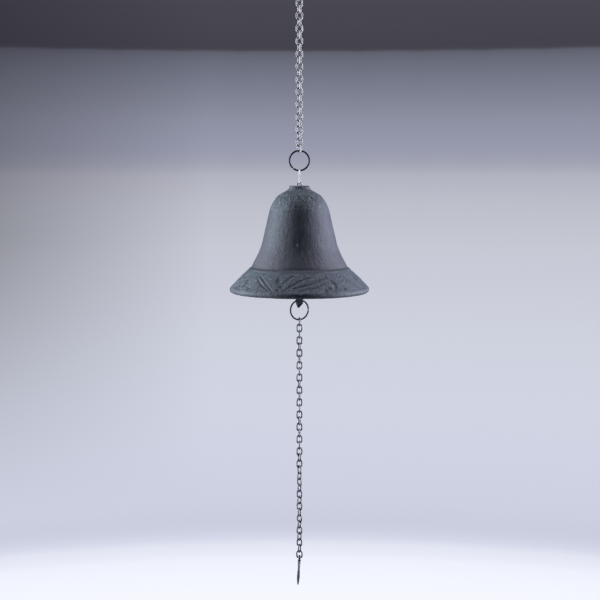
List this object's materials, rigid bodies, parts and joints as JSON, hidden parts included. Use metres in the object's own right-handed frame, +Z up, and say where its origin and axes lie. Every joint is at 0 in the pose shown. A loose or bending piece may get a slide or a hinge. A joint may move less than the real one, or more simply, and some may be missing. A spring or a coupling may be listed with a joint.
{
  "type": "hanging bell",
  "caption": "Cast bell with a flared skirt, hung by a ring, chain and hook, with a clapper worked by a chain that ends in a leaf-shaped pull.",
  "frame": {"origin": "inside of the hanging ring's top, where a hook bears on it", "axes": "+Z up along the chain; +X to the viewer's right; -Y towards the viewer"},
  "size_m": [0.14, 0.14, 0.6231],
  "materials": {
    "zinc": "bright zinc plate",
    "gunmetal": "blackened steel wire, satin",
    "antique": "antique pewter plate, satin",
    "cast_iron": "sand-cast iron with a blue-grey and green patina",
    "forged_iron": "black forged iron"
  },
  "bodies": {
    "hanging_ring": {"hanging_ring": "gunmetal"},
    "top_chain_01": {"top_chain_01": "zinc"},
    "top_chain_02": {"top_chain_02": "zinc"},
    "top_chain_03": {"top_chain_03": "zinc"},
    "top_chain_04": {"top_chain_04": "zinc"},
    "top_chain_05": {"top_chain_05": "zinc"},
    "top_chain_06": {"top_chain_06": "zinc"},
    "top_chain_07": {"top_chain_07": "zinc"},
    "top_chain_08": {"top_chain_08": "zinc"},
    "top_chain_09": {"top_chain_09": "zinc"},
    "top_chain_10": {"top_chain_10": "zinc"},
    "top_chain_11": {"top_chain_11": "zinc"},
    "top_chain_12": {"top_chain_12": "zinc"},
    "top_chain_13": {"top_chain_13": "zinc"},
    "top_ring": {"top_ring": "gunmetal"},
    "s_hook": {"s_hook": "zinc"},
    "bell": {"bell_shell": "cast_iron", "clapper_eye": "zinc", "crown_nut": "zinc", "crown_washer": "zinc", "hanger_eye": "zinc"},
    "clapper_link": {"clapper_link": "zinc"},
    "clapper": {"clapper": "forged_iron"},
    "pull_ring": {"pull_ring": "gunmetal"},
    "pull_chain_01": {"pull_chain_01": "antique"},
    "pull_chain_02": {"pull_chain_02": "antique"},
    "pull_chain_03": {"pull_chain_03": "antique"},
    "pull_chain_04": {"pull_chain_04": "antique"},
    "pull_chain_05": {"pull_chain_05": "antique"},
    "pull_chain_06": {"pull_chain_06": "antique"},
    "pull_chain_07": {"pull_chain_07": "antique"},
    "pull_chain_08": {"pull_chain_08": "antique"},
    "pull_chain_09": {"pull_chain_09": "antique"},
    "pull_chain_10": {"pull_chain_10": "antique"},
    "pull_chain_11": {"pull_chain_11": "antique"},
    "pull_chain_12": {"pull_chain_12": "antique"},
    "pull_chain_13": {"pull_chain_13": "antique"},
    "pull_chain_14": {"pull_chain_14": "antique"},
    "pull_chain_15": {"pull_chain_15": "antique"},
    "pull_chain_16": {"pull_chain_16": "antique"},
    "pull_chain_17": {"pull_chain_17": "antique"},
    "pull_chain_18": {"pull_chain_18": "antique"},
    "pull_chain_19": {"pull_chain_19": "antique"},
    "end_link": {"end_link": "antique"},
    "leaf_pull": {"leaf_pull": "antique"}
  },
  "joints": [
    {"name": "top_chain_01_swing", "type": "hinge", "parent": "hanging_ring", "child": "top_chain_01", "pos_m": [0, 0, -0.01878], "axis": [-0.3584, 0.9336, 0], "range_deg": [-50, 50]},
    {"name": "top_chain_02_swing", "type": "hinge", "parent": "top_chain_01", "child": "top_chain_02", "pos_m": [0, 0, -0.03111], "axis": [0.3584, -0.9336, 0], "range_deg": [-50, 50]},
    {"name": "top_chain_03_swing", "type": "hinge", "parent": "top_chain_02", "child": "top_chain_03", "pos_m": [0, 0, -0.04147], "axis": [0.9336, 0.3584, 0], "range_deg": [-50, 50]},
    {"name": "top_chain_04_swing", "type": "hinge", "parent": "top_chain_03", "child": "top_chain_04", "pos_m": [0, 0, -0.05383], "axis": [-0.9336, -0.3584, 0], "range_deg": [-50, 50]},
    {"name": "top_chain_05_swing", "type": "hinge", "parent": "top_chain_04", "child": "top_chain_05", "pos_m": [0, 0, -0.06819], "axis": [-0.3584, 0.9336, 0], "range_deg": [-50, 50]},
    {"name": "top_chain_06_swing", "type": "hinge", "parent": "top_chain_05", "child": "top_chain_06", "pos_m": [0, 0, -0.08055], "axis": [0.3584, -0.9336, 0], "range_deg": [-50, 50]},
    {"name": "top_chain_07_swing", "type": "hinge", "parent": "top_chain_06", "child": "top_chain_07", "pos_m": [0, 0, -0.09091], "axis": [0.9336, 0.3584, 0], "range_deg": [-50, 50]},
    {"name": "top_chain_08_swing", "type": "hinge", "parent": "top_chain_07", "child": "top_chain_08", "pos_m": [0, 0, -0.10327], "axis": [-0.9336, -0.3584, 0], "range_deg": [-50, 50]},
    {"name": "top_chain_09_swing", "type": "hinge", "parent": "top_chain_08", "child": "top_chain_09", "pos_m": [0, 0, -0.11763], "axis": [-0.3584, 0.9336, 0], "range_deg": [-50, 50]},
    {"name": "top_chain_10_swing", "type": "hinge", "parent": "top_chain_09", "child": "top_chain_10", "pos_m": [0, 0, -0.12999], "axis": [0.3584, -0.9336, 0], "range_deg": [-50, 50]},
    {"name": "top_chain_11_swing", "type": "hinge", "parent": "top_chain_10", "child": "top_chain_11", "pos_m": [0, 0, -0.14035], "axis": [0.9336, 0.3584, 0], "range_deg": [-50, 50]},
    {"name": "top_chain_12_swing", "type": "hinge", "parent": "top_chain_11", "child": "top_chain_12", "pos_m": [0, 0, -0.15271], "axis": [-0.9336, -0.3584, 0], "range_deg": [-50, 50]},
    {"name": "top_chain_13_swing", "type": "hinge", "parent": "top_chain_12", "child": "top_chain_13", "pos_m": [0, 0, -0.16707], "axis": [-0.3584, 0.9336, 0], "range_deg": [-50, 50]},
    {"name": "top_ring_swing", "type": "hinge", "parent": "top_chain_13", "child": "top_ring", "pos_m": [0, 0, -0.17943], "axis": [0.284, -0.9588, 0], "range_deg": [-45, 45]},
    {"name": "s_hook_swing", "type": "hinge", "parent": "top_ring", "child": "s_hook", "pos_m": [0, 0, -0.19706], "axis": [1, 0, 0], "range_deg": [-35, 35]},
    {"name": "bell_swing", "type": "hinge", "parent": "s_hook", "child": "bell", "pos_m": [0, 0, -0.21038], "axis": [0, 1, 0], "range_deg": [-40, 40]},
    {"name": "clapper_link_swing", "type": "hinge", "parent": "bell", "child": "clapper_link", "pos_m": [0, 0, -0.23328], "axis": [-1, 0, 0], "range_deg": [-10, 10]},
    {"name": "clapper_swing", "type": "hinge", "parent": "clapper_link", "child": "clapper", "pos_m": [0, 0, -0.24068], "axis": [0, -1, 0], "range_deg": [-26, 26]},
    {"name": "pull_ring_swing", "type": "hinge", "parent": "clapper", "child": "pull_ring", "pos_m": [0, 0, -0.32673], "axis": [0.8988, 0.4384, 0], "range_deg": [-40, 40]},
    {"name": "pull_chain_01_swing", "type": "hinge", "parent": "pull_ring", "child": "pull_chain_01", "pos_m": [0, 0, -0.34653], "axis": [-0.9903, -0.1392, 0], "range_deg": [-50, 50]},
    {"name": "pull_chain_02_swing", "type": "hinge", "parent": "pull_chain_01", "child": "pull_chain_02", "pos_m": [0, 0, -0.35914], "axis": [1, 0.0027, 0], "range_deg": [-50, 50]},
    {"name": "pull_chain_03_swing", "type": "hinge", "parent": "pull_chain_02", "child": "pull_chain_03", "pos_m": [0, 0, -0.37], "axis": [-0.2705, 0.9627, 0], "range_deg": [-50, 50]},
    {"name": "pull_chain_04_swing", "type": "hinge", "parent": "pull_chain_03", "child": "pull_chain_04", "pos_m": [0, 0, -0.38266], "axis": [0.1444, -0.9895, 0], "range_deg": [-50, 50]},
    {"name": "pull_chain_05_swing", "type": "hinge", "parent": "pull_chain_04", "child": "pull_chain_05", "pos_m": [0, 0, -0.39712], "axis": [-1, -0.0002, 0], "range_deg": [-50, 50]},
    {"name": "pull_chain_06_swing", "type": "hinge", "parent": "pull_chain_05", "child": "pull_chain_06", "pos_m": [0, 0, -0.40978], "axis": [0.9635, 0.2677, 0], "range_deg": [-50, 50]},
    {"name": "pull_chain_07_swing", "type": "hinge", "parent": "pull_chain_06", "child": "pull_chain_07", "pos_m": [0, 0, -0.42064], "axis": [-0.1497, 0.9887, 0], "range_deg": [-50, 50]},
    {"name": "pull_chain_08_swing", "type": "hinge", "parent": "pull_chain_07", "child": "pull_chain_08", "pos_m": [0, 0, -0.4333], "axis": [-0.0019, -1, 0], "range_deg": [-50, 50]},
    {"name": "pull_chain_09_swing", "type": "hinge", "parent": "pull_chain_08", "child": "pull_chain_09", "pos_m": [0, 0, -0.44776], "axis": [-0.964, -0.266, 0], "range_deg": [-50, 50]},
    {"name": "pull_chain_10_swing", "type": "hinge", "parent": "pull_chain_09", "child": "pull_chain_10", "pos_m": [0, 0, -0.46042], "axis": [0.987, 0.1608, 0], "range_deg": [-50, 50]},
    {"name": "pull_chain_11_swing", "type": "hinge", "parent": "pull_chain_10", "child": "pull_chain_11", "pos_m": [0, 0, -0.47128], "axis": [-0.0269, 0.9996, 0], "range_deg": [-50, 50]},
    {"name": "pull_chain_12_swing", "type": "hinge", "parent": "pull_chain_11", "child": "pull_chain_12", "pos_m": [0, 0, -0.48394], "axis": [0.3978, -0.9175, 0], "range_deg": [-50, 50]},
    {"name": "pull_chain_13_swing", "type": "hinge", "parent": "pull_chain_12", "child": "pull_chain_13", "pos_m": [0, 0, -0.4984], "axis": [-0.8171, -0.5765, 0], "range_deg": [-50, 50]},
    {"name": "pull_chain_14_swing", "type": "hinge", "parent": "pull_chain_13", "child": "pull_chain_14", "pos_m": [0, 0, -0.51106], "axis": [0.7269, 0.6868, 0], "range_deg": [-50, 50]},
    {"name": "pull_chain_15_swing", "type": "hinge", "parent": "pull_chain_14", "child": "pull_chain_15", "pos_m": [0, 0, -0.52192], "axis": [-0.9078, 0.4194, 0], "range_deg": [-50, 50]},
    {"name": "pull_chain_16_swing", "type": "hinge", "parent": "pull_chain_15", "child": "pull_chain_16", "pos_m": [0, 0, -0.53458], "axis": [0.876, -0.4824, 0], "range_deg": [-50, 50]},
    {"name": "pull_chain_17_swing", "type": "hinge", "parent": "pull_chain_16", "child": "pull_chain_17", "pos_m": [0, 0, -0.54904], "axis": [-0.623, -0.7822, 0], "range_deg": [-50, 50]},
    {"name": "pull_chain_18_swing", "type": "hinge", "parent": "pull_chain_17", "child": "pull_chain_18", "pos_m": [0, 0, -0.5617], "axis": [0.3941, 0.9191, 0], "range_deg": [-50, 50]},
    {"name": "pull_chain_19_swing", "type": "hinge", "parent": "pull_chain_18", "child": "pull_chain_19", "pos_m": [0, 0, -0.57256], "axis": [-0.8813, 0.4725, 0], "range_deg": [-50, 50]},
    {"name": "end_link_swing", "type": "hinge", "parent": "pull_chain_19", "child": "end_link", "pos_m": [0, 0, -0.58702], "axis": [-0.2756, -0.9613, 0], "range_deg": [-50, 50]},
    {"name": "leaf_pull_swing", "type": "hinge", "parent": "end_link", "child": "leaf_pull", "pos_m": [0, 0, -0.59312], "axis": [1, 0, 0], "range_deg": [-50, 50]}
  ]
}
